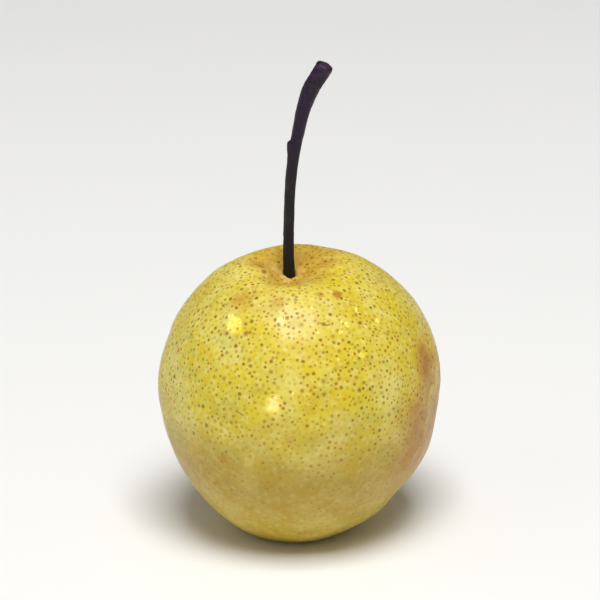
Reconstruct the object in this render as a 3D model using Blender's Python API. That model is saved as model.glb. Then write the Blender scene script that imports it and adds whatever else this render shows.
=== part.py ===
"""A golden Asian pear that stands on its calyx end: the fruit, its long woody stem and its dried calyx.

Units are metres, +Z is up, and the fruit stands on z = 0 with its bounding box centred on the Z axis.
The core line runs straight up through the calyx and the stem. The fruit has grown lopsided round it:
its rings sit up to a few millimetres to one side of the core line, so the stem is a little off centre.
"""

import math

import bmesh
import bpy
from mathutils import Vector

MM = 0.001

# The round body, measured from its widest level.
GIRTH_RADIUS = 36.1 * MM
CROWN_RISE = 35.9 * MM
FOOT_DROP = 42.2 * MM
SHOULDER_POWER = 2.0  # a power of 2 is an ellipse; a lower one draws the end to a blunt point
CHEEK_POWER = 1.92
GIRTH_SHIFT = Vector((2.8 * MM, 2.0 * MM))  # the widest ring's centre, seen from the core line
LOBES = ((2, 0.028, math.radians(48)), (3, 0.012, math.radians(39)), (5, 0.003, math.radians(10)))
CHEEK_SWELL = 1.5 * MM  # one cheek is fuller, low on the +X side
CHEEK_SPREAD = math.radians(16)
CHEEK_FACING = Vector((0.84, 0.15, -0.52)).normalized()

# The hollow that the stem stands in, and the folds of the shoulder round it.
CAVITY_DEPTH = 6.5 * MM
CAVITY_WIDTH = 6.3 * MM
FOLD_REACH = 8.5 * MM  # how far from the core line a fold is highest
FOLD_WIDTH = 5.5 * MM
FOLDS = (  # each one's facing, height and spread round the stem
    (math.radians(100), 0.6 * MM, math.radians(50)),
    (math.radians(238), -3.4 * MM, math.radians(40)),
    (math.radians(308), -2.6 * MM, math.radians(48)),
)

# The basin at the calyx end, and the flat ring round it that the fruit rests on.
BASIN_DEPTH = 9.0 * MM
BASIN_WIDTH = 7.0 * MM
RESTING_LEVEL = 38.8 * MM  # below the widest level

# The stem: its middle line as (sideways, fore and aft, up from the cavity's floor), and its radius there.
STEM_ROUTE = (
    ((0.0, 0.0, -4.2), 1.45),
    ((0.0, 0.0, 1.5), 1.50),
    ((-0.2, 0.3, 12.0), 1.33),
    ((0.4, 0.6, 26.0), 1.33),
    ((2.1, 0.3, 38.5), 1.55),
    ((4.6, -0.5, 48.2), 1.90),
    ((7.7, -1.2, 55.2), 2.15),
    ((8.9, -1.4, 57.2), 2.00),
)
NUB_PLACE = (-0.1, 0.4, 34.4)  # the scar of a bud that fell, on the same scale
NUB_RADIUS = 1.05 * MM
SOCKET_DEPTH = 4.5 * MM

# The dried calyx: a corky disc with five withered sepals, set in the basin's eye.
CALYX_RADIUS = 3.1 * MM
CALYX_THICKNESS = 2.0 * MM
SEPALS = 5
SEPAL_LENGTH = 3.0 * MM
SEPAL_RADIUS = 0.9 * MM
SEPAL_POINT = 0.22 * MM
SEPAL_TILT = math.radians(30)
SEPAL_TURN = math.radians(22)
SEPAL_ROOT = Vector((1.7 * MM, 1.6 * MM))  # out from the core line, and down from the disc's top
EYE_DEPTH = 1.6 * MM

CLEARANCE = 0.3 * MM  # between pieces that touch
OVERSHOOT = 3.0 * MM  # how far a cutter stands out past the skin

RING_SIDES = 64
RINGS = 46


def material(name, colour, roughness):
    """A plain finish for one piece: a linear colour and a roughness."""
    finish = bpy.data.materials.new(name)
    finish.use_nodes = True
    shader = finish.node_tree.nodes["Principled BSDF"]
    shader.inputs["Base Color"].default_value = (*colour, 1.0)
    shader.inputs["Roughness"].default_value = roughness
    shader.inputs["Metallic"].default_value = 0.0
    return finish


def new_object(name, mesh, collection):
    """An object that shows the mesh, in the collection."""
    made = bpy.data.objects.new(name, mesh)
    collection.objects.link(made)
    return made


def mesh_of(bm, name):
    """The bmesh as a mesh with its faces pointing out."""
    bmesh.ops.recalc_face_normals(bm, faces=bm.faces)
    mesh = bpy.data.meshes.new(name)
    bm.to_mesh(mesh)
    bm.free()
    return mesh


def bell(value, width):
    """1 where the value is 0, falling smoothly to nothing over about twice the width."""
    return math.exp(-((value / width) ** 2))


def turn_between(facing, other):
    """The angle from one facing to another, the short way round."""
    return (facing - other + math.pi) % math.tau - math.pi


def skin_point(direction):
    """Where the skin is in a direction from the body's middle, measured from the widest level.

    The body is two half superellipses on one girth. The stem's cavity and the calyx basin are bell-shaped
    dents in its ends, and what would reach below the resting level is pressed flat.
    """
    polar = math.acos(max(-1.0, min(1.0, direction.z)))
    azimuth = math.atan2(direction.y, direction.x)
    upper = polar < math.pi / 2
    power = SHOULDER_POWER if upper else CHEEK_POWER
    reach = math.sin(polar) ** (2 / power)
    height = (CROWN_RISE if upper else -FOOT_DROP) * abs(math.cos(polar)) ** (2 / power)

    radius = GIRTH_RADIUS * reach
    from_core = radius
    radius *= 1 + sum(size * math.cos(count * (azimuth - facing)) for count, size, facing in LOBES)
    point = Vector((radius * math.cos(azimuth), radius * math.sin(azimuth), height))
    point += GIRTH_SHIFT.to_3d() * (1 - (1 - reach) ** 2)
    point += CHEEK_FACING * CHEEK_SWELL * bell(direction.angle(CHEEK_FACING, 0.0), CHEEK_SPREAD)

    if upper:
        point.z -= CAVITY_DEPTH * bell(from_core, CAVITY_WIDTH)
        for facing, rise, spread in FOLDS:
            across = bell(turn_between(azimuth, facing), spread)
            point.z += rise * across * bell(from_core - FOLD_REACH, FOLD_WIDTH)
    else:
        point.z += BASIN_DEPTH * bell(from_core, BASIN_WIDTH)
    point.z = max(point.z, -RESTING_LEVEL)
    return point


def cavity_floor():
    """The height of the cavity's floor above the resting level."""
    return skin_point(Vector((0, 0, 1))).z + RESTING_LEVEL


def basin_roof():
    """The height of the basin's deepest point above the resting level."""
    return skin_point(Vector((0, 0, -1))).z + RESTING_LEVEL


def cylinder(name, radius, low, high, sides, collection):
    """An upright cylinder on the core line."""
    bm = bmesh.new()
    bmesh.ops.create_cone(
        bm, cap_ends=True, segments=sides, radius1=radius, radius2=radius, depth=high - low
    )
    bmesh.ops.translate(bm, verts=bm.verts, vec=(0, 0, (low + high) / 2))
    return new_object(name, mesh_of(bm, name), collection)


def combine(target, other, operation):
    """Adds a Boolean of the other object to the target, and keeps the other out of the render."""
    modifier = target.modifiers.new(operation.title(), "BOOLEAN")
    modifier.object = other
    modifier.operation = operation
    other.hide_render = True
    other.display_type = "WIRE"


def build_fruit(parts, helpers):
    """The fruit: a sphere drawn out to the skin's shape, with a socket and an eye cut in its ends."""
    bm = bmesh.new()
    bmesh.ops.create_uvsphere(bm, u_segments=RING_SIDES, v_segments=RINGS, radius=1.0)
    for vertex in bm.verts:
        vertex.co = skin_point(vertex.co.normalized()) + Vector((0, 0, RESTING_LEVEL))
    fruit = new_object("fruit", mesh_of(bm, "fruit"), parts)
    fruit.data.shade_smooth()

    floor = cavity_floor()
    stem_foot_radius = STEM_ROUTE[1][1] * MM
    socket = cylinder(
        "stem_socket_cutter",
        stem_foot_radius + CLEARANCE,
        floor - SOCKET_DEPTH,
        floor + OVERSHOOT,
        24,
        helpers,
    )
    combine(fruit, socket, "DIFFERENCE")

    roof = basin_roof()
    eye = cylinder(
        "calyx_eye_cutter", CALYX_RADIUS + CLEARANCE, roof - OVERSHOOT, roof + EYE_DEPTH, 40, helpers
    )
    combine(fruit, eye, "DIFFERENCE")
    fruit.data.materials.append(material("pear_skin", (0.76, 0.58, 0.11), 0.42))
    return fruit


def build_stem(parts, helpers):
    """The stem: a bent, tapering twig with a swollen upper end and the nub of a fallen bud."""
    curve = bpy.data.curves.new("stem_line", "CURVE")
    curve.dimensions = "3D"
    curve.bevel_depth = 1.0 * MM
    curve.bevel_resolution = 3
    curve.resolution_u = 5
    curve.use_fill_caps = True
    spline = curve.splines.new("BEZIER")
    spline.bezier_points.add(len(STEM_ROUTE) - 1)
    base = Vector((0, 0, cavity_floor()))
    for point, (place, radius) in zip(spline.bezier_points, STEM_ROUTE):
        point.co = base + Vector(place) * MM
        point.radius = radius
        point.handle_left_type = "AUTO"
        point.handle_right_type = "AUTO"
    line = new_object("stem_line", curve, helpers)

    bpy.context.view_layer.update()
    evaluated = line.evaluated_get(bpy.context.evaluated_depsgraph_get())
    bm = bmesh.new()
    bm.from_mesh(bpy.data.meshes.new_from_object(evaluated))
    bmesh.ops.remove_doubles(bm, verts=bm.verts, dist=0.01 * MM)
    stem = new_object("stem", mesh_of(bm, "stem"), parts)
    stem.matrix_world = line.matrix_world
    bpy.data.objects.remove(line)

    bm = bmesh.new()
    bmesh.ops.create_uvsphere(bm, u_segments=12, v_segments=8, radius=NUB_RADIUS)
    bmesh.ops.translate(bm, verts=bm.verts, vec=base + Vector(NUB_PLACE) * MM)
    nub = new_object("stem_nub", mesh_of(bm, "stem_nub"), helpers)
    combine(stem, nub, "UNION")
    stem.data.shade_smooth()
    stem.data.set_sharp_from_angle(angle=math.radians(50))
    stem.data.materials.append(material("pear_stem", (0.030, 0.012, 0.016), 0.55))
    return stem


def build_calyx(parts, helpers):
    """The calyx: a corky disc with five withered sepals round its rim, pointing down and outwards."""
    roof = basin_roof()
    top = roof + EYE_DEPTH - CLEARANCE
    calyx = cylinder("calyx", CALYX_RADIUS, top - CALYX_THICKNESS, top, 40, parts)
    for number in range(SEPALS):
        bm = bmesh.new()
        bmesh.ops.create_cone(
            bm,
            cap_ends=True,
            segments=12,
            radius1=SEPAL_RADIUS,
            radius2=SEPAL_POINT,
            depth=SEPAL_LENGTH,
        )
        name = f"sepal_{number + 1}"
        sepal = new_object(name, mesh_of(bm, name), helpers)
        facing = SEPAL_TURN + math.tau * number / SEPALS
        outward = Vector((math.cos(facing), math.sin(facing), 0))
        pointing = outward * math.sin(SEPAL_TILT) - Vector((0, 0, 1)) * math.cos(SEPAL_TILT)
        root = outward * SEPAL_ROOT.x + Vector((0, 0, top - SEPAL_ROOT.y))
        sepal.location = root + pointing * SEPAL_LENGTH / 2
        sepal.rotation_euler = pointing.to_track_quat("Z", "Y").to_euler()
        combine(calyx, sepal, "UNION")
    calyx.data.shade_smooth()
    calyx.data.set_sharp_from_angle(angle=math.radians(40))
    calyx.data.materials.append(material("dried_calyx", (0.055, 0.028, 0.014), 0.85))
    return calyx


def centre_on_origin(fruit, others):
    """Moves everything sideways together, so that the fruit's bounding box is centred on the Z axis."""
    for axis in range(2):
        places = [vertex.co[axis] for vertex in fruit.data.vertices]
        shift = -(min(places) + max(places)) / 2
        for piece in (fruit, *others):
            piece.location[axis] += shift


def main():
    """Clears the scene and builds the pear."""
    for existing in list(bpy.data.objects):
        bpy.data.objects.remove(existing)
    parts = bpy.data.collections.new("pear")
    helpers = bpy.data.collections.new("cutters")
    for collection in (parts, helpers):
        bpy.context.scene.collection.children.link(collection)

    fruit = build_fruit(parts, helpers)
    stem = build_stem(parts, helpers)
    calyx = build_calyx(parts, helpers)
    centre_on_origin(fruit, (stem, calyx, *helpers.objects))


if __name__ == "__main__":
    main()
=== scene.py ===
"""A golden Asian pear: its freckled skin, long woody stem, dried calyx and a few drops of water.

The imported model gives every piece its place. The fruit's form repeats the formula of the solid that it stands
for and adds what is too fine for it: the pleats of the stem's cavity, the collar of flesh round the stem, the
ribs of the calyx basin, and some six thousand lenticels, the corky pores that freckle the skin.
"""

import logging
import math
from dataclasses import dataclass, field
from enum import Enum
from functools import partial

import bpy
import numpy as np
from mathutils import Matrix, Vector


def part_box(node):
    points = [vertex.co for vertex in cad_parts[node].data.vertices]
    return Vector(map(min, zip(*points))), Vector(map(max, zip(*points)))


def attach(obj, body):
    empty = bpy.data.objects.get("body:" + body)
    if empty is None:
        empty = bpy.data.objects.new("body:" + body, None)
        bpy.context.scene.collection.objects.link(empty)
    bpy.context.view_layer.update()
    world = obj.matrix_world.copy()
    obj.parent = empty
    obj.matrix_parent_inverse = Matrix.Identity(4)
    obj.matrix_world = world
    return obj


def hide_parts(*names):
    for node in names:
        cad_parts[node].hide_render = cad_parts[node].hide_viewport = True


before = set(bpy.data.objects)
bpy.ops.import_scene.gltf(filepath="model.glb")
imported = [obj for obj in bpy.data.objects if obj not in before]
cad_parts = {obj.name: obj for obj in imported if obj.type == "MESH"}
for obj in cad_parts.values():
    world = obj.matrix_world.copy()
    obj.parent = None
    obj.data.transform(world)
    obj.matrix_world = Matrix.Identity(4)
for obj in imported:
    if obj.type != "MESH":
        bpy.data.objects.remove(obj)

log = logging.getLogger("pear")

Row = tuple[float, ...]

MM = 0.001
BODY = "root"
FACTOR, FIRST, SECOND = 0, 6, 7  # a colour mix's sockets
PER_MM = 1000.0  # a texture's scale counts its cells in a metre


class Slot(Enum):
    """The record's material slots."""

    SKIN = "pear_skin"
    STEM = "pear_stem"
    CALYX = "dried_calyx"


class Mask(Enum):
    """The masks that the fruit's mesh carries, each from 0 to 1 over the skin."""

    RUSSET = "russet"
    GREEN = "green"
    # partly the skin's own blush, partly painted reflection and painted shade on the lower right
    BLUSH_AND_PAINTED_LIGHT = "blush_and_painted_light"
    COLLAR = "collar"
    # partly russet, partly painted shade in the sunken pleats
    CREASE = "crease"
    # painted shade: the skin darker towards the bottom
    TAN = "tan"
    SCAR = "scar"
    # painted light: pale discs on the skin under and beside the drops
    GLOW = "glow"


# ---------------------------------------------------------------- numbers


def bell(value: np.ndarray, width: float | np.ndarray) -> np.ndarray:
    """1 where the value is 0, falling smoothly to nothing over about twice the width."""
    return np.exp(-((value / width) ** 2))


def ramp(value: np.ndarray, low: float, high: float) -> np.ndarray:
    """Rises smoothly from 0 at the low value to 1 at the high one."""
    share = np.clip((value - low) / (high - low), 0.0, 1.0)
    return share * share * (3.0 - 2.0 * share)


def turn_between(angle: np.ndarray, other: float) -> np.ndarray:
    """The angle from one facing to another, the short way round."""
    return (angle - other + math.pi) % math.tau - math.pi


def facing(azimuth: float, elevation: float) -> np.ndarray:
    """The unit direction at an azimuth from +X and an elevation above level, both in degrees."""
    turn, lift = math.radians(azimuth), math.radians(elevation)
    return np.array([math.cos(turn) * math.cos(lift), math.sin(turn) * math.cos(lift), math.sin(lift)])


def unit(vectors: np.ndarray) -> np.ndarray:
    """The vectors at length 1."""
    return vectors / np.maximum(np.linalg.norm(vectors, axis=-1, keepdims=True), 1e-12)


def smooth_through(knots: np.ndarray, values: np.ndarray, at: np.ndarray) -> np.ndarray:
    """Reads a smooth curve through given values.

    Between two knots it is the cubic that meets both values, with the slope of the neighbouring knots there.

    Args:
        knots: where the values are set, rising.
        values: one value or one vector for each knot.
        at: where to read the curve.

    Returns:
        The curve's value at each place.
    """
    slopes = np.gradient(values, knots, axis=0)
    start = np.clip(np.searchsorted(knots, at, side="right") - 1, 0, len(knots) - 2)
    gap = knots[start + 1] - knots[start]
    share = (at - knots[start]) / gap
    if values.ndim > 1:
        gap, share = gap[:, None], share[:, None]
    from_start = (2 * share**3 - 3 * share**2 + 1) * values[start]
    from_start += (share**3 - 2 * share**2 + share) * gap * slopes[start]
    from_end = (3 * share**2 - 2 * share**3) * values[start + 1]
    from_end += (share**3 - share**2) * gap * slopes[start + 1]
    return from_start + from_end


def angle_from(aims: np.ndarray, azimuth: float, elevation: float) -> np.ndarray:
    """The angle between each of some unit directions and one that is given in degrees."""
    return np.arccos(np.clip(aims @ facing(azimuth, elevation), -1, 1))


def ripples(
    points: np.ndarray, wavelength: float, rng: np.random.Generator, count: int = 24
) -> np.ndarray:
    """Smooth random unevenness: the sum of sines that run through space in random directions.

    Args:
        points: where to read it, as (..., xyz).
        wavelength: the middle length of its waves, in the points' unit.
        rng: the source of its directions.
        count: how many sines it adds.

    Returns:
        Its height at each point, mostly between -1.5 and 1.5.
    """
    lengths = wavelength * rng.uniform(0.7, 1.5, count)
    waves = unit(rng.normal(size=(count, 3))) * (math.tau / lengths)[:, None]
    phases = rng.uniform(0, math.tau, count)
    return np.sin(points @ waves.T + phases).sum(axis=-1) * math.sqrt(2 / count)


# ---------------------------------------------------------------- surfaces


@dataclass
class Surface:
    """A closed surface before it is a mesh: its points, and its faces as lists of point numbers."""

    points: np.ndarray
    faces: list[list[int]]

    def mesh(self, name: str) -> bpy.types.Mesh:
        """Makes the mesh, smooth, with its faces pointing out.

        Args:
            name: the mesh's name.

        Returns:
            The mesh.
        """
        mesh = bpy.data.meshes.new(name)
        mesh.from_pydata(self.points.tolist(), [], self.faces)
        mesh.shade_smooth()
        return mesh


def closed_rings(rings: np.ndarray, start: np.ndarray, end: np.ndarray) -> Surface:
    """Joins rings of points into one closed surface, with a fan of triangles to a pole at each end.

    Args:
        rings: points as (ring, column, xyz). From outside, with the start pole up, columns run to the right.
        start: the pole before the first ring.
        end: the pole after the last ring.

    Returns:
        The surface, facing outwards.
    """
    count, columns = rings.shape[:2]
    here, quads = ring_quads(count, columns)
    beside = np.roll(here, -1, axis=1)
    first, last = np.full(columns, here.size), np.full(columns, here.size + 1)
    fans = np.array([[first, here[0], beside[0]], [last, beside[-1], here[-1]]])
    fans = fans.transpose(0, 2, 1).reshape(-1, 3)
    points = np.concatenate([rings.reshape(-1, 3), start[None], end[None]])
    return Surface(points, [*quads.tolist(), *fans.tolist()])


def joined(surfaces: list[Surface]) -> Surface:
    """Several surfaces as one, each still closed.

    Args:
        surfaces: the surfaces, each with its own points.

    Returns:
        One surface that holds them all.
    """
    starts = np.cumsum([0, *(len(each.points) for each in surfaces)])
    pairs = [(start, face) for start, each in zip(starts, surfaces) for face in each.faces]
    faces = [[start + corner for corner in face] for start, face in pairs]
    return Surface(np.concatenate([each.points for each in surfaces]), faces)


def all_round(columns: int) -> np.ndarray:
    """Evenly spaced angles for one whole turn."""
    return np.arange(columns) / columns * math.tau


def ring_quads(count: int, columns: int) -> tuple[np.ndarray, np.ndarray]:
    """The numbers of the points of some rings, as (ring, column), and the quads between the rings.

    Args:
        count: how many rings there are.
        columns: how many points each has.

    Returns:
        The numbers, and one row of four of them for each quad, facing outwards.
    """
    here = np.arange(count * columns).reshape(count, columns)
    beside = np.roll(here, -1, axis=1)
    return here, np.stack([here[:-1], here[1:], beside[1:], beside[:-1]], axis=-1).reshape(-1, 4)


def turned(radius: np.ndarray, height: np.ndarray, around: np.ndarray) -> np.ndarray:
    """A turned form's rings: each radius carried round the upright axis, at its height."""
    flat = radius[:, None, None] * np.stack([np.cos(around), np.sin(around)], axis=-1)
    return np.concatenate([flat, np.repeat(height[:, None, None], len(around), axis=1)], axis=-1)


def sweep(path: np.ndarray, outline: np.ndarray, fore: np.ndarray) -> Surface:
    """Carries an outline along a path, and closes it at both ends.

    Each outline point is set off from the path by its first number along the side direction and by its second
    along the fore direction, where both are square to the path.

    Args:
        path: the middle line, as (ring, xyz), running upwards.
        outline: the offsets, as (ring, column, 2).
        fore: a direction that the path never runs along.

    Returns:
        The surface.
    """
    along = unit(np.gradient(path, axis=0))
    side = unit(np.cross(fore[None], along))
    ahead = np.cross(along, side)
    rings = path[:, None] + outline[..., :1] * side[:, None] + outline[..., 1:] * ahead[:, None]
    return closed_rings(rings[::-1], path[-1], path[0])


def write_floats(mesh: bpy.types.Mesh, name: str, values: np.ndarray, domain: str = "POINT") -> None:
    """Writes one number for each of a mesh's points, or each of its faces, for its material to read."""
    mesh.attributes.new(name, "FLOAT", domain).data.foreach_set("value", values.astype(np.float32))


def new_piece(mesh: bpy.types.Mesh, finish: bpy.types.Material) -> bpy.types.Object:
    """Shows a mesh as an object of the same name, in one finish, riding on the pear's body.

    Args:
        mesh: its mesh.
        finish: its material.

    Returns:
        The piece.
    """
    piece = bpy.data.objects.new(mesh.name, mesh)
    bpy.context.scene.collection.objects.link(piece)
    mesh.materials.append(finish)
    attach(piece, BODY)
    log.info("%s: %d faces", piece.name, len(mesh.polygons))
    return piece


# ---------------------------------------------------------------- finishes


def linear(hex_colour: str) -> tuple[float, float, float, float]:
    """An sRGB hex colour, such as "#e3c74f", as linear red, green, blue and alpha.

    Args:
        hex_colour: the colour as #rrggbb.

    Returns:
        The four shares, with an alpha of 1.
    """
    shares = [int(hex_colour[place : place + 2], 16) / 255 for place in (1, 3, 5)]
    red, green, blue = (s / 12.92 if s <= 0.04045 else ((s + 0.055) / 1.055) ** 2.4 for s in shares)
    return red, green, blue, 1.0


def plug(node: bpy.types.Node, inputs: dict) -> None:
    """Sets a node's sockets, by name or number, to a value, to an output, or to a node's first output.

    Args:
        node: the node.
        inputs: for each socket's name or number, what it is set to or linked from.
    """
    for name, value in inputs.items():
        if isinstance(value, bpy.types.Node):
            value = next(output for output in value.outputs if output.enabled)
        if isinstance(value, bpy.types.NodeSocket):
            node.id_data.links.new(value, node.inputs[name])
        else:
            node.inputs[name].default_value = value


def add_node(
    tree: bpy.types.NodeTree, kind: str, inputs: dict | None = None, **settings: object
) -> bpy.types.Node:
    """Adds one shader node.

    Args:
        tree: the tree that it goes in.
        kind: its type, less the word ShaderNode.
        inputs: what its sockets are set to, as plug takes it.
        **settings: its own properties.

    Returns:
        The node.
    """
    node = tree.nodes.new(f"ShaderNode{kind}")
    for name, value in settings.items():
        setattr(node, name, value)
    plug(node, inputs or {})
    return node


def new_material(name: str) -> tuple[bpy.types.Material, bpy.types.Node, partial]:
    """Starts a material.

    Args:
        name: its name, for what the real material is.

    Returns:
        The material, its Principled shader, and add_node for its tree.
    """
    material = bpy.data.materials.new(name)
    material.use_nodes = True
    return material, material.node_tree.nodes["Principled BSDF"], partial(add_node, material.node_tree)


@dataclass(frozen=True)
class Scratch:
    """A short curved scratch on the skin: an arc round a centre, in the fruit's own frame."""

    middle: tuple[float, float, float]
    arc_centre: tuple[float, float, float]
    arc_radius: float
    length: float
    width: float = 0.22 * MM


@dataclass(frozen=True)
class PearSkin:
    """Ripe Asian pear skin: thin, golden, faintly waxy, and freckled all over with corky lenticels.

    The flesh under it lets light bleed a little, which softens the shading, and the skin's fine unevenness
    breaks the highlight up.
    """

    gold: str = "#dbc62e"
    straw: str = "#eae08c"
    leaf_green: str = "#bcc464"
    amber: str = "#cca31e"
    # painted shade laid over the lower half
    tan: str = "#b4942a"
    russet: str = "#c08a2a"
    # partly russet, partly painted shade in the hollows of the sunken pleats
    crease: str = "#8a4e1c"
    # Blush and honey: partly the skin's own blush, partly painted reflection of warm surroundings and painted
    # shade on the lower right.
    blush_and_painted_light: str = "#985a08"
    honey_and_painted_reflection: str = "#c28c06"
    flesh: str = "#d8a468"
    pore: str = "#806010"
    russet_pore: str = "#a6590f"
    # pores darkened under the blush and its painted shade
    blush_and_shade_pore: str = "#6e3c0c"
    stain: str = "#b98f26"
    scar: str = "#96622a"
    scab: str = "#b8762a"
    # painted light and painted highlights under and beside the drops
    painted_light_colour: str = "#fbf2b0"
    roughness: float = 0.36
    russet_roughness: float = 0.62
    grain_roughness: float = 0.10
    # the pale islands are partly the skin's own pale tone, partly painted highlight
    cell_size: float = 1.9  # mm, the pale islands between the pores
    relief: float = 0.06  # mm, how high the peel's unevenness stands
    waver: float = 0.35  # mm, how far a scratch strays from its arc

    # The skin's noises: name, size in mm, detail and roughness. Mottle is broad patches of ripeness, grain
    # the fine unevenness over them, fray a pore's ragged rim, and peel what breaks a highlight up.
    noises: tuple[tuple[str, float, float, float], ...] = (
        ("mottle", 11.0, 2.0, 0.5),
        ("cloud", 4.5, 3.0, 0.5),
        ("blotch", 3.4, 3.0, 0.5),
        ("streak", 1.6, 4.0, 0.65),
        ("peel", 1.5, 2.0, 0.5),
        ("grain", 1.1, 2.0, 0.5),
        ("stray", 0.6, 2.0, 0.5),
        ("fray", 0.4, 1.0, 0.5),
    )

    # Sums that come first: name, operation, and what it takes, a number or the name of an earlier value.
    first_sums: tuple[tuple[str | float, ...], ...] = (
        ("cork_or_blotch", "ADD", "russet", "blotch"),
        ("raggedness", "MULTIPLY_ADD", "fray", 1.2, 0.40),
        ("radii_away", "DIVIDE", "pore_away", "pore_radius"),
        ("ragged_away", "MULTIPLY", "radii_away", "raggedness"),
        ("rooms_away", "DIVIDE", "pore_away", "pore_room"),
    )

    # Shares that rise smoothly from 0: name, the value it follows, its low and high limit, and its top.
    rises: tuple[tuple[str, str, float, float, float], ...] = (
        ("pale_patch", "mottle", 0.40, 0.72, 0.55),
        # Pale islands between the pores: partly the skin's pale tone, partly painted highlight, kept mostly to
        # the upper part.
        ("pale_island", "cell", 0.55, 0.10, 0.38),
        ("unripe_patch", "blotch", 0.34, 0.62, 1.0),
        ("amber_cloud", "cloud", 0.52, 0.78, 0.50),
        ("amber_grain", "grain", 0.50, 0.72, 0.42),
        ("streaks", "streak", 0.30, 0.66, 1.0),
        ("cork_patch", "cork_or_blotch", 0.62, 1.25, 1.0),
        # The blush's shares: partly the skin's own blush, partly painted reflection and painted shade.
        ("flush", "blush_and_painted_light", 0.0, 0.55, 0.85),
        ("deep_flush", "blush_and_painted_light", 0.25, 1.15, 1.0),
        ("flush_blotch", "blotch", 0.28, 0.66, 1.0),
        ("scab_blotch", "blotch", 0.20, 0.60, 1.0),
        ("pore_spot", "ragged_away", 1.50, 0.35, 0.92),
        ("stain_spot", "rooms_away", 1.0, 0.30, 1.0),
        ("rusty_pore", "pore_chance", 0.45, 0.90, 1.0),
        ("flushed_pore", "blush_and_painted_light", 0.10, 0.70, 0.85),
    )

    # Sums that come last, laid out as the first ones are.
    last_sums: tuple[tuple[str | float, ...], ...] = (
        # The straw fades where the lower half's painted shade lies, so the upper part stays paler.
        ("high_up", "MULTIPLY_ADD", "tan", -0.60, 1.0),
        ("straw_patch", "MULTIPLY", "pale_patch", "high_up"),
        # Straw islands: partly painted highlight, paler on the upper part.
        ("straw_island", "MULTIPLY", "pale_island", "high_up"),
        ("unripe", "MULTIPLY", "green", "unripe_patch"),
        ("cork_streak", "MULTIPLY_ADD", "streaks", 0.55, 0.45),
        ("cork", "MULTIPLY", "cork_patch", "cork_streak"),
        ("cork_share", "MULTIPLY", "cork", 0.80),
        # The dark blush, partly painted shade, mottled by blotches.
        ("mottled_flush", "MULTIPLY_ADD", "flush_blotch", 0.48, 0.42),
        ("ruddy", "MULTIPLY", "deep_flush", "mottled_flush"),
        ("mottled_scab", "MULTIPLY_ADD", "scab_blotch", 0.45, 0.45),
        ("healed", "MULTIPLY", "scar", "mottled_scab"),
        # painted light under the drops
        ("lit_share", "MULTIPLY", "glow", 0.38),
        ("pore", "MULTIPLY", "pore_spot", "pore_tone"),
        ("stain_tone", "MULTIPLY_ADD", "pore_tone", 0.6, 0.20),
        ("stained", "MULTIPLY", "stain_spot", "stain_tone"),
        ("dull", "MAXIMUM", "cork", "pore"),
        ("fine_relief", "MULTIPLY", "grain", 0.35),
        ("peel_relief", "ADD", "peel", "fine_relief"),
        ("pore_relief", "MULTIPLY_ADD", "pore", 0.30, "peel_relief"),
        ("cork_height", "MULTIPLY", "cork", 0.5),
        ("relief", "MULTIPLY_ADD", "streaks", "cork_height", "pore_relief"),
    )

    # The colours laid over the gold, from the ground up: the finish's colour and the share that it covers.
    layers: tuple[tuple[str, str], ...] = (
        # painted shade over the lower half
        ("tan", "tan"),
        ("straw", "straw_patch"),
        ("leaf_green", "unripe"),
        ("amber", "amber_cloud"),
        # pale islands, partly painted highlight
        ("straw", "straw_island"),
        ("amber", "amber_grain"),
        ("russet", "cork_share"),
        # Honey and dark blush: partly real blush, partly painted reflection and painted shade.
        ("honey_and_painted_reflection", "flush"),
        ("blush_and_painted_light", "ruddy"),
        # partly russet, partly painted shade in the sunken pleats
        ("crease", "crease"),
        ("scab", "healed"),
        # painted light under the drops
        ("painted_light_colour", "lit_share"),
        ("flesh", "collar"),
        ("stain", "stained"),
    )

    # Its shine: a thin wax coat over flesh that light enters, deepest in red.
    refraction: float = 1.45
    specular: float = 0.38
    wax: float = 0.14
    wax_roughness: float = 0.26
    bleed: float = 0.18
    bleed_reach: float = 1.6  # mm
    bleed_by_colour: Row = (1.0, 0.62, 0.18)

    def material(self, scratches: list[Scratch]) -> bpy.types.Material:
        """Makes the material.

        Args:
            scratches: the scratches that it shows.

        Returns:
            The material. It reads the lenticels from face attributes, so that each is a true round spot.
        """
        material, shader, add = new_material("asian_pear_skin")
        place = add("TexCoord").outputs["Object"]
        names = [kind.value for kind in Mask] + ["pore_radius", "pore_room", "pore_tone"]
        value = {name: add("Attribute", attribute_name=name).outputs["Fac"] for name in names}
        for name, size, detail, roughness in self.noises:
            settings = {"Vector": place, "Scale": PER_MM / size, "Detail": detail, "Roughness": roughness}
            value[name] = add("TexNoise", settings)
        cells = {"Vector": place, "Scale": PER_MM / self.cell_size, "Smoothness": 0.7}
        value["cell"] = add("TexVoronoi", cells, feature="SMOOTH_F1")
        centre = add("Attribute", attribute_name="pore_centre").outputs["Vector"]
        away = add("VectorMath", {0: place, 1: centre}, operation="DISTANCE")
        value["pore_away"] = away.outputs["Value"]
        value["pore_chance"] = add("TexWhiteNoise", {"Vector": centre}).outputs["Value"]

        for name, operation, *takes in self.first_sums:
            inputs = {socket: value.get(take, take) for socket, take in enumerate(takes)}
            value[name] = add("Math", inputs, operation=operation)
        for name, source, low, high, top in self.rises:
            limits = {"Value": value[source], "From Min": low, "From Max": high, "To Max": top}
            value[name] = add("MapRange", limits, interpolation_type="SMOOTHSTEP")
        for name, operation, *takes in self.last_sums:
            inputs = {socket: value.get(take, take) for socket, take in enumerate(takes)}
            value[name] = add("Math", inputs, operation=operation)

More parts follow.
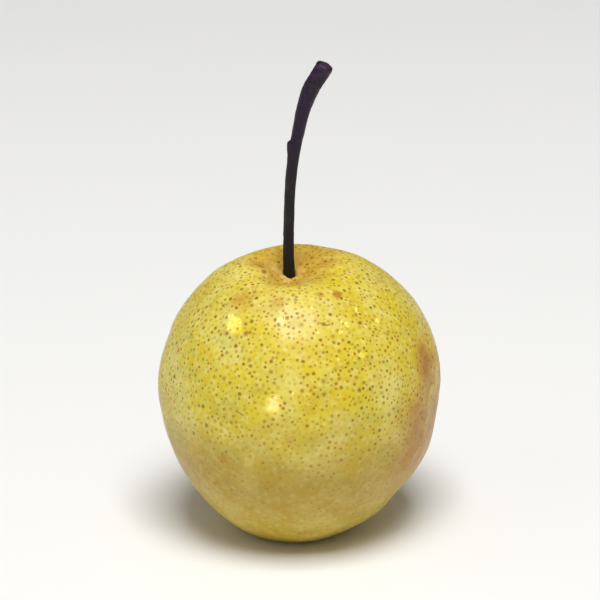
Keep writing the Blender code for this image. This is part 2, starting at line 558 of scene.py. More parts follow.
        # A pore is olive brown, rusty here and there, and darker over the blush and its painted shade on the
        # lower right.
        pore_colour = linear(self.pore)
        for tint, share in ((self.russet_pore, "rusty_pore"), (self.blush_and_shade_pore, "flushed_pore")):
            mix = {FACTOR: value[share], FIRST: pore_colour, SECOND: linear(tint)}
            pore_colour = add("Mix", mix, data_type="RGBA")
        colour = linear(self.gold)
        for tint, share in self.layers:
            mix = {FACTOR: value[share], FIRST: colour, SECOND: linear(getattr(self, tint))}
            colour = add("Mix", mix, data_type="RGBA")
        colour = add("Mix", {FACTOR: value["pore"], FIRST: colour, SECOND: pore_colour}, data_type="RGBA")

        # Scratches, each a short arc: near a ball's surface and near the scratch's own middle.
        stray = add("Math", {0: value["stray"], 1: self.waver * MM}, operation="MULTIPLY")
        for scratch in scratches:
            ball = add("VectorMath", {0: place, 1: scratch.arc_centre}, operation="DISTANCE").outputs["Value"]
            off = add("Math", {0: ball, 1: scratch.arc_radius}, operation="SUBTRACT")
            off = add("Math", {0: off, 1: stray}, operation="ADD")
            off = add("Math", {0: off}, operation="ABSOLUTE")
            limits = {"Value": off, "From Min": scratch.width, "From Max": 0.3 * scratch.width}
            off = add("MapRange", limits, interpolation_type="SMOOTHSTEP")
            along = add("VectorMath", {0: place, 1: scratch.middle}, operation="DISTANCE").outputs["Value"]
            limits = {"Value": along, "From Min": 0.5 * scratch.length, "From Max": 0.3 * scratch.length}
            along = add("MapRange", {**limits, "To Max": 0.85}, interpolation_type="SMOOTHSTEP")
            share = add("Math", {0: off, 1: along}, operation="MULTIPLY")
            colour = add("Mix", {FACTOR: share, FIRST: colour, SECOND: linear(self.scar)}, data_type="RGBA")

        # Gloss: waxy skin, dull where it is corky.
        gloss = {"Value": value["dull"], "To Min": self.roughness, "To Max": self.russet_roughness}
        gloss = {0: value["grain"], 1: self.grain_roughness, 2: add("MapRange", gloss)}
        gloss = add("Math", gloss, operation="MULTIPLY_ADD")
        bump = {"Height": value["relief"], "Distance": self.relief * MM, "Strength": 1.0}
        sockets = {
            "Base Color": colour,
            "Roughness": gloss,
            "Normal": add("Bump", bump),
            "IOR": self.refraction,
            "Specular IOR Level": self.specular,
            "Coat Weight": self.wax,
            "Coat Roughness": self.wax_roughness,
            "Subsurface Weight": self.bleed,
            "Subsurface Scale": self.bleed_reach * MM,
            "Subsurface Radius": self.bleed_by_colour,
        }
        plug(shader, sockets)
        return material


@dataclass(frozen=True)
class StemBark:
    """The bark of a pear's stem: near-black purple-brown, dull, ribbed lengthwise and ringed near its end."""

    dark: str = "#0d0407"
    purple: str = "#260a33"
    bloom: str = "#45293d"
    olive: str = "#27260f"
    wood: str = "#43282a"
    polish: float = 0.40  # the roughness of its smoothest streaks
    roughness: float = 0.66
    specular: float = 0.35
    relief: float = 0.10  # mm

    def material(self) -> bpy.types.Material:
        """Makes the material. The mesh's "along" runs from 0 at the skin to 1 at the cut end.

        Returns:
            The material.
        """
        material, shader, add = new_material("pear_stem_bark")
        place = add("TexCoord").outputs["Object"]
        along = add("Attribute", attribute_name="along").outputs["Fac"]
        cut = add("Attribute", attribute_name="cut").outputs["Fac"]
        stretched = add("Mapping", {"Vector": place, "Scale": (1.0, 1.0, 0.16)})
        squashed = add("Mapping", {"Vector": place, "Rotation": (0.0, 0.6, 0.0), "Scale": (0.25, 0.25, 1.0)})
        sizes = ((stretched, 0.7, 4.0), (squashed, 0.9, 2.0), (place, 4.0, 3.0), (place, 0.45, 2.0))  # mm
        streak, ring, patch, fleck = (
            add("TexNoise", {"Vector": where, "Scale": PER_MM / size, "Detail": detail})
            for where, size, detail in sizes
        )
        streak.inputs["Roughness"].default_value = 0.65

        # Black at the foot, a violet tinge above the bud's ledge, and a grey bloom on the thick cut end.
        rises = ((along, 0.48, 0.70), (along, 0.80, 1.0), (streak, 0.32, 0.66), (ring, 0.42, 0.64))
        limits = ({"Value": value, "From Min": low, "From Max": high} for value, low, high in rises)
        violet, ashen, streaky, ringed = (
            add("MapRange", each, interpolation_type="SMOOTHSTEP") for each in limits
        )
        violet_share = add("Math", {0: violet, 1: 0.85, 2: 0.12}, operation="MULTIPLY_ADD")
        mossy = add("MapRange", {"Value": patch, "From Min": 0.50, "From Max": 0.70, "To Max": 0.8})
        middle = add("Math", {0: along, 1: 0.38, 2: 0.12}, operation="COMPARE")
        bloomy = add("Math", {0: ringed, 1: ashen}, operation="MULTIPLY")
        products = ((streaky, violet_share), (mossy, middle), (bloomy, 0.52), (cut, 0.45))
        purple, green, grey, core = (
            add("Math", {0: value, 1: other}, operation="MULTIPLY") for value, other in products
        )
        speck = add("MapRange", {"Value": fleck, "From Min": 0.68, "From Max": 0.76, "To Max": 0.35})
        colour = linear(self.dark)
        tints = (self.purple, self.olive, self.bloom, self.bloom, self.wood)
        for tint, share in zip(tints, (purple, green, grey, speck, core)):
            colour = add("Mix", {FACTOR: share, FIRST: colour, SECOND: linear(tint)}, data_type="RGBA")

        height = add("Math", {0: ring, 1: violet, 2: streak}, operation="MULTIPLY_ADD")
        bump = add("Bump", {"Height": height, "Distance": self.relief * MM, "Strength": 1.0})
        gloss = add("MapRange", {"Value": streak, "To Min": self.polish, "To Max": self.roughness})
        sockets = {"Base Color": colour, "Normal": bump, "Roughness": gloss}
        plug(shader, {**sockets, "Specular IOR Level": self.specular})
        return material


@dataclass(frozen=True)
class DriedCalyx:
    """The withered calyx: brown leaf and cork gone dry, dull and fibrous."""

    dark: str = "#2a1a0f"
    brown: str = "#6b4a2a"
    roughness: float = 0.85
    fibre_size: float = 0.5  # mm
    relief: float = 0.15  # mm

    def material(self) -> bpy.types.Material:
        """Makes the material.

        Returns:
            The material.
        """
        material, shader, add = new_material("withered_sepals")
        place = add("TexCoord").outputs["Object"]
        scale = PER_MM / self.fibre_size
        fibre = add("TexNoise", {"Vector": place, "Scale": scale, "Detail": 4.0, "Roughness": 0.6})
        limits = {"Value": fibre, "From Min": 0.35, "From Max": 0.70}
        share = add("MapRange", limits, interpolation_type="SMOOTHSTEP")
        tones = {FACTOR: share, FIRST: linear(self.dark), SECOND: linear(self.brown)}
        colour = add("Mix", tones, data_type="RGBA")
        bump = add("Bump", {"Height": fibre, "Distance": self.relief * MM, "Strength": 0.9})
        plug(shader, {"Base Color": colour, "Normal": bump, "Roughness": self.roughness})
        return material


@dataclass(frozen=True)
class ClearWater:
    """Clear water, seen as beads on the skin: a bright glint on top and a bent image of the skin below."""

    refraction: float = 1.333

    def material(self) -> bpy.types.Material:
        """Makes the material. Lamps shine through it, as they do through real drops.

        Returns:
            The material.
        """
        material, shader, add = new_material("clear_water")
        plug(shader, {"Base Color": linear("#ffffff"), "Roughness": 0.0, "IOR": self.refraction})
        plug(shader, {"Transmission Weight": 1.0})
        lamp = add("LightPath").outputs["Is Shadow Ray"]
        through = add("MixShader", {0: lamp, 1: shader, 2: add("BsdfTransparent")})
        plug(material.node_tree.nodes["Material Output"], {"Surface": through})
        return material


@dataclass(frozen=True)
class StudioPaper:
    """Matt white background paper."""

    white: str = "#f4f3f1"
    off_white: str = "#f1f1ef"
    roughness: float = 0.9
    tooth_size: float = 60.0  # mm, coarse enough to show as the faintest unevenness

    def material(self) -> bpy.types.Material:
        """Makes the material.

        Returns:
            The material.
        """
        material, shader, add = new_material("studio_paper")
        place = add("TexCoord").outputs["Object"]
        tooth = add("TexNoise", {"Vector": place, "Scale": PER_MM / self.tooth_size, "Detail": 2.0})
        tones = {FACTOR: tooth, FIRST: linear(self.white), SECOND: linear(self.off_white)}
        plug(shader, {"Base Color": add("Mix", tones, data_type="RGBA"), "Roughness": self.roughness})
        return material


# ---------------------------------------------------------------- the fruit


@dataclass
class Lenticels:
    """The skin's pores: where each one is, how wide and how dark."""

    centres: np.ndarray
    radii: np.ndarray
    rooms: np.ndarray
    tones: np.ndarray

    def nearest_to(self, points: np.ndarray, step: int = 4000) -> np.ndarray:
        """The number of the pore nearest to each point, worked out for a few thousand points at a time.

        Args:
            points: the points, as (point, xyz).
            step: how many are worked out at a time.

        Returns:
            One number for each point.
        """
        origin = self.centres.mean(axis=0)
        centres = ((self.centres - origin) / MM).astype(np.float32)
        sizes = (centres**2).sum(axis=1)
        found = []
        for start in range(0, len(points), step):
            some = ((points[start : start + step] - origin) / MM).astype(np.float32)
            found.append((sizes - 2 * some @ centres.T).argmin(axis=1))
        return np.concatenate(found)


# Soft patches on the skin: each one's share, its azimuth and elevation in degrees, and its spread in degrees.
PATCHES: dict[Mask, tuple[Row, ...]] = {
    Mask.RUSSET: ((0.60, 230, 56, 5), (0.35, 262, 58, 8), (0.80, 240, -14, 1.8)),
    Mask.GREEN: ((0.45, 214, 22, 30), (0.35, 236, 38, 8), (0.35, 305, 15, 14), (0.20, 60, 5, 40)),
    # Blush on the lower right: partly real, partly painted reflection and painted shade.
    Mask.BLUSH_AND_PAINTED_LIGHT: (
        *((0.48, 352, 14, 13), (0.58, 353, -8, 15), (0.40, 338, -24, 14)),
        *((0.30, 12, -24, 15), (0.22, 333, -6, 18), (0.20, 150, -20, 30)),
    ),
}

# Small discs with a clear edge: the same, with a radius in mm for the spread.
DISCS: dict[Mask, tuple[Row, ...]] = {
    Mask.SCAR: (
        (1.00, 310, 57.8, 1.3),
        (0.70, 296, 59.5, 0.95),
        (0.90, 245.3, 41.9, 0.75),
        (0.45, 270.4, -1.2, 1.5),
        (0.80, 120, 42, 1.1),
        (0.70, 28, -12, 1.4),
    ),
    # Painted light: pale discs under and beside the drops, where lamp light gathered by the drops and their
    # highlights would fall.
    Mask.GLOW: ((1.00, 263.2, 13.8, 1.3), (0.30, 236.4, 44.6, 1.2), (0.70, 265.4, 48.7, 0.8)),
}

@dataclass
class Fruit:
    """The fruit: two half superellipses on one girth, dented at both ends, and all that is on its skin.

    The core line runs straight up from the calyx to the stem. Heights are from the widest level. The fruit
    has grown lopsided round the core line, so its rings sit up to a few millimetres to one side of it.
    """

    girth_radius: float = 36.1 * MM
    crown_rise: float = 35.9 * MM
    foot_drop: float = 42.2 * MM
    shoulder_power: float = 2.0
    cheek_power: float = 1.92
    girth_shift: tuple[float, float] = (2.8 * MM, 2.0 * MM)
    lobes: tuple[Row, ...] = ((2, 0.028, 48.0), (3, 0.012, 39.0), (5, 0.003, 10.0))
    cheek_swell: float = 1.5 * MM
    cheek_spread: float = math.radians(16)
    cheek_facing: tuple[float, float, float] = (0.84, 0.15, -0.52)
    cavity_depth: float = 6.5 * MM
    cavity_width: float = 6.3 * MM
    fold_reach: float = 8.5 * MM
    fold_width: float = 5.5 * MM
    folds: tuple[Row, ...] = (
        (100.0, 0.6, 50.0),
        (238.0, -3.4, 40.0),
        (308.0, -2.6, 48.0),
    )
    basin_depth: float = 9.0 * MM
    basin_width: float = 7.0 * MM
    resting_level: float = 38.8 * MM

    # Pleats run out of the cavity like creases: facing, height in mm, half spread, reach and length in mm.
    pleats: tuple[Row, ...] = (
        (209.0, 1.3, 13.0, 7.5, 4.5),
        (181.0, -1.7, 14.0, 5.5, 4.0),
        (258.0, -0.5, 26.0, 6.0, 3.0),
        (273.0, -0.6, 7.0, 9.0, 5.0),
        (336.0, 0.7, 14.0, 8.0, 4.0),
        (10.0, -0.7, 13.0, 6.5, 4.0),
        (248.0, -0.30, 10.0, 5.5, 3.5),
        (128.0, 0.40, 12.0, 6.5, 4.0),
        (62.0, -0.35, 13.0, 6.0, 4.0),
    )
    small_pleats: int = 22
    ribs: int = 5

    # Scratches: azimuth and elevation in degrees, the bearing of the arc's centre, its radius and its length.
    scratches: tuple[Row, ...] = (
        (284.0, 44.4, 70.0, 3.0, 4.2),
        (246.0, 8.0, 250.0, 9.0, 3.0),
        (341.0, 20.0, 120.0, 5.0, 5.0),
        (95.0, 25.0, 200.0, 8.0, 6.0),
    )

    columns: int = 448
    rings: int = 211
    pore_throws: int = 42000
    pore_gap: float = 1.35 * MM
    pore_radius: float = 0.29  # mm, the middle one
    pore_limits: tuple[float, float] = (0.14, 0.62)  # mm, the least and greatest radius
    freckled: tuple[float, float] = (322.0, -8.0)  # the azimuth and elevation where the pores are darkest
    freckle_spread: float = math.radians(22)
    seed: int = 7
    shift: Vector = field(default_factory=Vector)

    def spread_out(
        self, polar: np.ndarray, azimuth: np.ndarray
    ) -> tuple[np.ndarray, np.ndarray, np.ndarray]:
        """Draws directions out to the plain form that the fruit's solid has.

        The reach from the core line is the girth times the polar angle's sine to the power 2 / n, and the
        height is the crown's or foot's times its cosine to the same power. The lobes widen it by cosines of
        the azimuth, and the girth's shift moves a ring by 1 less the square of what it lacks of full reach.

        Args:
            polar: the angle from straight up.
            azimuth: the angle round from +X.

        Returns:
            The points, how far each is from the core line before the shift, and where the upper half is.
        """
        upper = polar < math.pi / 2
        power = np.where(upper, self.shoulder_power, self.cheek_power)
        reach = np.abs(np.sin(polar)) ** (2 / power)
        height = np.where(upper, self.crown_rise, -self.foot_drop) * np.abs(np.cos(polar)) ** (2 / power)
        from_core = self.girth_radius * reach
        turned_lobes = ((count, size, azimuth - math.radians(turn)) for count, size, turn in self.lobes)
        lobes = sum(size * np.cos(count * angle) for count, size, angle in turned_lobes)
        radius = from_core * (1 + lobes)
        grown = 1 - (1 - reach) ** 2
        points = np.stack(
            [
                radius * np.cos(azimuth) + self.girth_shift[0] * grown,
                radius * np.sin(azimuth) + self.girth_shift[1] * grown,
                height,
            ],
            axis=-1,
        )
        towards = unit(np.array(self.cheek_facing))
        level = np.sin(polar)
        aim = np.stack([level * np.cos(azimuth), level * np.sin(azimuth), np.cos(polar)], axis=-1)
        swell = bell(np.arccos(np.clip(aim @ towards, -1, 1)), self.cheek_spread)
        points += swell[..., None] * self.cheek_swell * towards

        drop = self.cavity_depth * bell(from_core, self.cavity_width)
        rise = np.zeros_like(drop)
        for turn, height_mm, spread in self.folds:
            across = bell(turn_between(azimuth, math.radians(turn)), math.radians(spread))
            rise += height_mm * MM * across * bell(from_core - self.fold_reach, self.fold_width)
        rise *= ramp(from_core, 0.0, 4.0 * MM)
        basin = self.basin_depth * bell(from_core, self.basin_width)
        points[..., 2] += np.where(upper, rise - drop, basin)
        points[..., 2] = np.maximum(points[..., 2], -self.resting_level)
        return points, from_core, upper

    @staticmethod
    def pleated(from_core: np.ndarray, azimuth: np.ndarray, pleat: Row, narrow: float = 1.0) -> np.ndarray:
        """A pleat's shape at full height 1: a bell across its facing times a bell along its reach.

        Args:
            from_core: each point's distance from the core line.
            azimuth: each point's angle round it.
            pleat: one row of the pleats.
            narrow: its spread by its full spread.

        Returns:
            The share of its height there.
        """
        turn, _, spread, reach, length = pleat
        across = bell(turn_between(azimuth, math.radians(turn)), math.radians(spread * narrow))
        return across * bell(from_core - reach * MM, length * MM)

    def creases(self, from_core: np.ndarray, azimuth: np.ndarray, upper: np.ndarray) -> np.ndarray:
        """The fine rise and fall at the fruit's two ends, in metres upwards.

        In the cavity it is the sum of the pleats, with a collar of flesh round the stem and a groove inside
        it. In the basin it is a cosine for each rib, and a pit round the calyx.

        Args:
            from_core: each point's distance from the core line.
            azimuth: each point's angle round it.
            upper: where the upper half is.

        Returns:
            The rise at each point.
        """
        rng = np.random.default_rng(self.seed)
        small = zip(
            rng.uniform(0, 360, self.small_pleats),
            rng.uniform(-0.22, 0.22, self.small_pleats),
            rng.uniform(4, 8, self.small_pleats),
            rng.uniform(3.5, 8.5, self.small_pleats),
            rng.uniform(2.0, 3.5, self.small_pleats),
        )
        rise = np.zeros_like(from_core)
        for pleat in (*self.pleats, *small):
            rise += pleat[1] * MM * self.pleated(from_core, azimuth, pleat)
        rise *= ramp(from_core, 1.2 * MM, 3.2 * MM)
        uneven = 1 + 0.35 * np.sin(2 * azimuth + 0.4) + 0.2 * np.sin(5 * azimuth)
        rise += 0.75 * MM * uneven * bell(from_core - 2.1 * MM, 0.75 * MM)
        rise -= 1.4 * MM * bell(from_core, 1.4 * MM)
        ribs = np.cos(self.ribs * azimuth) + 0.4 * np.cos(2 * self.ribs * azimuth + 1.0)
        fluting = 0.35 * MM * ribs * bell(from_core - 6.0 * MM, 2.2 * MM)
        fluting += 1.7 * MM * ramp(-from_core, -3.9 * MM, -2.9 * MM)
        return np.where(upper, rise, fluting)

    def skin(self, polar: np.ndarray, azimuth: np.ndarray) -> tuple[np.ndarray, np.ndarray, np.ndarray]:
        """The finished skin in the pear's frame, with each point's distance from the core and its half.

        Broad unevenness moves the skin in and out, and fades towards the resting ring, which stays flat.

        Args:
            polar: the angle from straight up.
            azimuth: the angle round from +X.

        Returns:
            The points, their distance from the core line, and where the upper half is.
        """
        rng = np.random.default_rng(self.seed + 1)
        points, from_core, upper = self.spread_out(polar, azimuth)
        outwards = unit(points)
        swell = 0.16 * MM * ripples(points, 19 * MM, rng) + 0.045 * MM * ripples(points, 6.5 * MM, rng)
        clear = ramp(points[..., 2] + self.resting_level, 0.4 * MM, 5.0 * MM)
        points = points + (swell * clear)[..., None] * outwards
        points[..., 2] += self.creases(from_core, azimuth, upper)
        points[..., 2] = np.maximum(points[..., 2], -self.resting_level)
        return points + np.array(self.shift), from_core, upper

    def settle(self) -> None:
        """Finds the shift that puts this form where the fruit's solid is."""
        near_pole = 0.01
        polar = np.linspace(near_pole, math.pi - near_pole, 181)
        polar, azimuth = np.meshgrid(polar, np.linspace(0, math.tau, 361))
        points = self.spread_out(polar, azimuth)[0].reshape(-1, 3)
        low, high = (np.array(corner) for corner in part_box("fruit"))
        middle = (low + high) / 2 - (points.min(axis=0) + points.max(axis=0)) / 2
        self.shift = Vector((middle[0], middle[1], low[2] + self.resting_level))

    def surface_at(self, direction: np.ndarray) -> tuple[np.ndarray, np.ndarray]:
        """The skin's points in some directions from the middle of its widest level, and its normals there.

        Args:
            direction: one direction, or several as (direction, xyz).

        Returns:
            The points and the normals.
        """
        aims = unit(np.atleast_2d(direction))
        polar, azimuth = np.arccos(np.clip(aims[:, 2], -1, 1)), np.arctan2(aims[:, 1], aims[:, 0])
        near = 0.01
        here = self.skin(polar, azimuth)[0]
        down = self.skin(polar + near, azimuth)[0] - here
        round_ = self.skin(polar, azimuth + near)[0] - here
        return here, unit(np.cross(down, round_))

    def scatter_pores(self) -> Lenticels:
        """Scatters the lenticels: darts thrown at random, each kept only if it lands clear of the kept ones.

        They crowd together and grow large towards the stem, and thin out and fade below the girth.

        Returns:
            The lenticels.
        """
        rng = np.random.default_rng(self.seed + 2)
        aims = unit(rng.normal(size=(self.pore_throws, 3)))
        polar, azimuth = np.arccos(aims[:, 2]), np.arctan2(aims[:, 1], aims[:, 0])
        places = self.skin(polar, azimuth)[0]
        crown = ramp(aims[:, 2], -0.75, 0.75)
        gaps = self.pore_gap * (1.30 - 0.30 * crown) * rng.uniform(0.55, 1.35, len(aims))
        cells = np.floor(places / (1.4 * self.pore_gap)).astype(int)
        kept: dict[tuple[int, ...], list[int]] = {}
        around = [(x, y, z) for x in (-1, 0, 1) for y in (-1, 0, 1) for z in (-1, 0, 1)]
        for number, cell in enumerate(cells.tolist()):
            near = [n for step in around for n in kept.get(tuple(map(sum, zip(cell, step))), ())]
            if not near or np.linalg.norm(places[near] - places[number], axis=1).min() >= gaps[number]:
                kept.setdefault(tuple(cell), []).append(number)
        chosen = np.array(sorted(number for group in kept.values() for number in group))
        centres, crown = places[chosen], crown[chosen]
        radii = rng.lognormal(math.log(self.pore_radius), 0.32, len(chosen))
        radii = MM * np.clip(radii, *self.pore_limits) * (0.75 + 0.35 * crown)
        tones = np.clip(rng.beta(1.3, 1.9, len(chosen)) * (0.50 + 0.65 * crown), 0.04, 1.0)
        freckles = bell(angle_from(aims[chosen], *self.freckled), self.freckle_spread)
        tones = np.clip(tones + 0.35 * freckles, 0.0, 1.0)
        log.info("lenticels: %d", len(chosen))
        apart = np.array([np.sort(((centres - centre) ** 2).sum(axis=1))[1] for centre in centres])
        rooms = np.minimum(2.6 * radii, 0.5 * np.sqrt(apart))
        return Lenticels(centres, radii, rooms, tones)

    def masks(self, points: np.ndarray, from_core: np.ndarray, upper: np.ndarray) -> dict[Mask, np.ndarray]:
        """Works out where the skin is russet, green, blushed, scarred and fleshy round the stem, and where
        light and shade are painted on it.

        A patch is its share times a bell of the angle from its middle. A disc is its share, and falls to
        nothing between 0.65 and 1.35 of its radius.

        Args:
            points: the skin's points.
            from_core: their distance from the core line.
            upper: where the upper half is.

        Returns:
            Each mask, as one share for each point.
        """
        rng = np.random.default_rng(self.seed + 3)
        away = points - np.array(self.shift)
        aims, azimuth = unit(away), np.arctan2(away[:, 1], away[:, 0])
        uneven = ripples(points, 9 * MM, rng)
        masks = {kind: np.zeros_like(from_core) for kind in Mask}
        for kind, patches in PATCHES.items():
            for share, turn, lift, spread in patches:
                masks[kind] += share * bell(angle_from(aims, turn, lift), math.radians(spread))
        for kind, discs in DISCS.items():
            for share, turn, lift, radius in discs:
                reach = angle_from(aims, turn, lift) * self.girth_radius / MM
                masks[kind] += share * ramp(-reach, -1.35 * radius, -0.65 * radius)
        round_stem = bell(from_core, 8.5 * MM) + 0.40 * bell(from_core, 16 * MM)
        masks[Mask.RUSSET] += np.where(upper, round_stem, 0.9 * bell(from_core, 6.5 * MM)) + 0.08 * uneven
        masks[Mask.GREEN] += 0.10 * uneven
        # The blush, with its painted reflection and shade, made uneven.
        masks[Mask.BLUSH_AND_PAINTED_LIGHT] *= 1 + 0.30 * ripples(points, 13 * MM, rng) + 0.12 * ripples(points, 4 * MM, rng)
        masks[Mask.COLLAR] = np.where(upper, 0.6 * bell(from_core - 2.0 * MM, 0.8 * MM), 0.0)
        # The sunken pleats are darker orange-brown: partly russet, partly painted shade in their hollows.
        for pleat in self.pleats:
            depth = max(-pleat[1], 0.0)
            masks[Mask.CREASE] += 0.45 * depth * self.pleated(from_core, azimuth, pleat, 0.7)
        masks[Mask.CREASE] *= np.where(upper, ramp(from_core, 2.0 * MM, 4.0 * MM), 0.0)
        down = -aims[:, 2]
        # Painted shade: the skin turns darker towards the bottom, and a little less so at the very bottom,
        # where the floor's light reaches.
        masks[Mask.TAN] = ramp(down + 0.05 * uneven, -0.20, 0.5) - 0.45 * ramp(down, 0.5, 0.95)
        return {kind: np.clip(values, 0, 1) for kind, values in masks.items()}

    def scratch(
        self, azimuth: float, elevation: float, bearing: float, bend: float, length: float
    ) -> Scratch:
        """Works out a scratch.

        Args:
            azimuth: the azimuth of its middle, in degrees.
            elevation: the elevation of its middle, in degrees.
            bearing: which way its arc's centre lies from it, in degrees anticlockwise from rightwards.
            bend: its arc's radius in mm.
            length: its length in mm.

        Returns:
            The scratch.
        """
        places, normals = self.surface_at(facing(azimuth, elevation))
        right = unit(np.cross(np.array([0.0, 0.0, 1.0]), normals[0]))
        up = np.cross(normals[0], right)
        turn = math.radians(bearing)
        centre = places[0] + bend * MM * (math.cos(turn) * right + math.sin(turn) * up)
        return Scratch(tuple(places[0]), tuple(centre), bend * MM, length * MM)

    def build(self, finish: PearSkin) -> bpy.types.Object:
        """Builds the skin as a closed grid of directions, and writes its masks and lenticels on it.

        Args:
            finish: its skin.

        Returns:
            The piece.
        """
        steps = np.linspace(0, math.pi, self.rings + 2)
        polar, azimuth = np.meshgrid(steps, all_round(self.columns), indexing="ij")
        points, from_core, upper = self.skin(polar, azimuth)
        surface = closed_rings(points[1:-1], points[0, 0], points[-1, 0])
        mesh = surface.mesh("fruit_skin")

        def in_mesh_order(values: np.ndarray) -> np.ndarray:
            """Grid values in the order of the mesh's points, whose poles come last."""
            return np.concatenate([values[1:-1].ravel(), values[0, :1], values[-1, :1]])

        masks = self.masks(surface.points, in_mesh_order(from_core), in_mesh_order(upper))
        for kind, values in masks.items():
            write_floats(mesh, kind.value, values)

        middles = np.empty(len(mesh.polygons) * 3, np.float32)
        mesh.polygons.foreach_get("center", middles)
        pores = self.scatter_pores()
        near = pores.nearest_to(middles.reshape(-1, 3))
        centre = mesh.attributes.new("pore_centre", "FLOAT_VECTOR", "FACE")
        centre.data.foreach_set("vector", pores.centres[near].astype(np.float32).ravel())
        sizes = {"pore_radius": pores.radii, "pore_room": pores.rooms, "pore_tone": pores.tones}
        for name, values in sizes.items():
            write_floats(mesh, name, values[near], "FACE")

        scratches = [self.scratch(*each) for each in self.scratches]
        piece = new_piece(mesh, finish.material(scratches))
        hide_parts("fruit")
        return piece


# ---------------------------------------------------------------- the stem


@dataclass
class Stem:
    """The stem: a bent twig, thickest at its cut end, with a ledge where a bud fell off."""

    # Its middle line above the cavity's floor, in mm: height, sideways, fore and aft, and its radius there.
    route: tuple[Row, ...] = (
        (-3.6, 0.0, 0.0, 1.30),
        (-0.6, 0.0, 0.0, 1.62),
        (2.0, 0.0, 0.05, 1.48),
        (7.4, -0.15, 0.2, 1.36),
        (16.5, 0.0, 0.45, 1.32),
        (26.0, 0.45, 0.55, 1.36),
        (34.0, 1.5, 0.4, 1.46),
        (41.0, 2.85, 0.0, 1.63),
        (46.0, 4.1, -0.35, 1.83),
        (50.0, 5.65, -0.7, 1.98),
        (53.4, 7.5, -1.05, 2.12),
        (56.0, 8.9, -1.3, 2.2),
    )
    rings: int = 430
    columns: int = 88
    cap_rings: int = 14
    nub_height: float = 35.4
    nub_facing: float = math.pi
    nub_reach: float = 0.72
    stretch: float = 0.14  # a wrinkle's width by its length
    banded: tuple[float, float] = (38.0, 53.0)  # the heights between which the rings across come in
    band_height: float = 0.022
    seed: int = 11

    def radius_field(self, height: np.ndarray, around: np.ndarray, radius: np.ndarray) -> np.ndarray:
        """The bark's radius in mm at each ring and column.

        The route's radius is fluted by cosines that twist slowly on the way up, wrinkled lengthwise by
        ripples that are stretched along the stem, ringed across near the cut end, and beaded by small pores.
        The bud's ledge is a bump that rises slowly from below and falls off sharply above, and a low swelling
        sits near the end.

        Args:
            height: each point's height in mm above the cavity's floor.
            around: its angle round the stem.
            radius: the route's radius there, in mm.

        Returns:
            The radius at each point, in mm.
        """
        rng = np.random.default_rng(self.seed)
        twist = around + 0.012 * height
        across, ahead = radius * np.cos(around), radius * np.sin(around)
        bark = radius * (1 + 0.035 * np.cos(3 * twist + 0.5) + 0.025 * np.cos(5 * twist + 2.0))
        stretched = np.stack([across, ahead, self.stretch * height], axis=-1)
        bark = bark + 0.035 * ripples(stretched, 1.3, rng, 40) + 0.016 * ripples(stretched, 0.5, rng, 40)
        wavy = height + 0.35 * np.sin(around + 1.0) + 0.25 * np.sin(2 * around)
        bands = np.sin(wavy * math.tau / 1.35) + 0.6 * np.sin(wavy * math.tau / 0.83 + 1.7)
        bark += self.band_height * ramp(height, *self.banded) * bands
        bumps = ripples(np.stack([across, ahead, height], axis=-1), 2.2, rng, 40)
        bark += 0.05 * np.clip(bumps - 0.9, 0, 1)
        rise = height - self.nub_height
        ledge = bell(np.minimum(rise, 0), 2.6) * bell(np.maximum(rise, 0), 0.55)
        bark += self.nub_reach * ledge * bell(turn_between(around, self.nub_facing), 0.75)
        bark += 0.30 * bell(height - 50.5, 3.2) * bell(turn_between(around, 2.6), 1.1)
        return bark

    def build(self, foot: np.ndarray, finish: StemBark) -> bpy.types.Object:
        """Builds the stem from the cavity's floor up.

        Args:
            foot: where the core line meets the cavity's floor.
            finish: its bark.

        Returns:
            The piece.
        """
        knots = np.array(self.route)
        height = np.linspace(knots[0, 0], knots[-1, 0], self.rings)
        line = smooth_through(knots[:, 0], knots[:, 1:], height)
        around = all_round(self.columns)
        tall, turn = np.meshgrid(height, around, indexing="ij")
        bark = self.radius_field(tall, turn, np.repeat(line[:, 2:], self.columns, axis=1))
        path = np.stack([line[:, 0], line[:, 1], height], axis=-1)

        # The cut end: the rim rounds over, and the face inside it is slightly sunken.
        share = np.linspace(0, 1, self.cap_rings + 1)[1:]
        swing = np.clip(share / 0.6, 0, 1) * math.radians(80)
        narrowing = np.interp(share, [0.6, 1.0], [1.0, 0.1]) * (0.4 + 0.6 * np.cos(swing))
        lift = 0.75 * np.sin(swing) - 0.25 * ramp(share, 0.55, 1.0)
        onwards = unit(path[-1] - path[-8])
        steps = np.linspace(0.02, 0.3, self.cap_rings)  # keeps the path running on, so that the sweep holds
        path = np.concatenate([path, path[-1] + steps[:, None] * onwards])
        bark = np.concatenate([bark, bark[-1] * narrowing[:, None]])
        outline = bark[..., None] * np.stack([np.cos(around), np.sin(around)], axis=-1)
        surface = sweep(path, outline, np.array([0.0, 1.0, 0.0]))
        rings = surface.points[:-2].reshape(len(path), self.columns, 3)
        rings[: self.cap_rings] += (lift - steps)[::-1, None, None] * onwards
        surface.points[-2] = rings[0].mean(axis=0)
        surface.points = surface.points * MM + foot

        mesh = surface.mesh("stem_bark")
        top = np.concatenate([np.ones(self.cap_rings), (height / knots[-1, 0])[::-1]])
        cut = np.concatenate([ramp(share, 0.4, 0.75)[::-1], np.zeros(self.rings)])
        for name, values in (("along", top), ("cut", cut)):
            write_floats(mesh, name, np.append(np.repeat(np.clip(values, 0, 1), self.columns), (1.0, 0.0)))
        piece = new_piece(mesh, finish.material())
        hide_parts("stem")
        return piece


# ---------------------------------------------------------------- the calyx


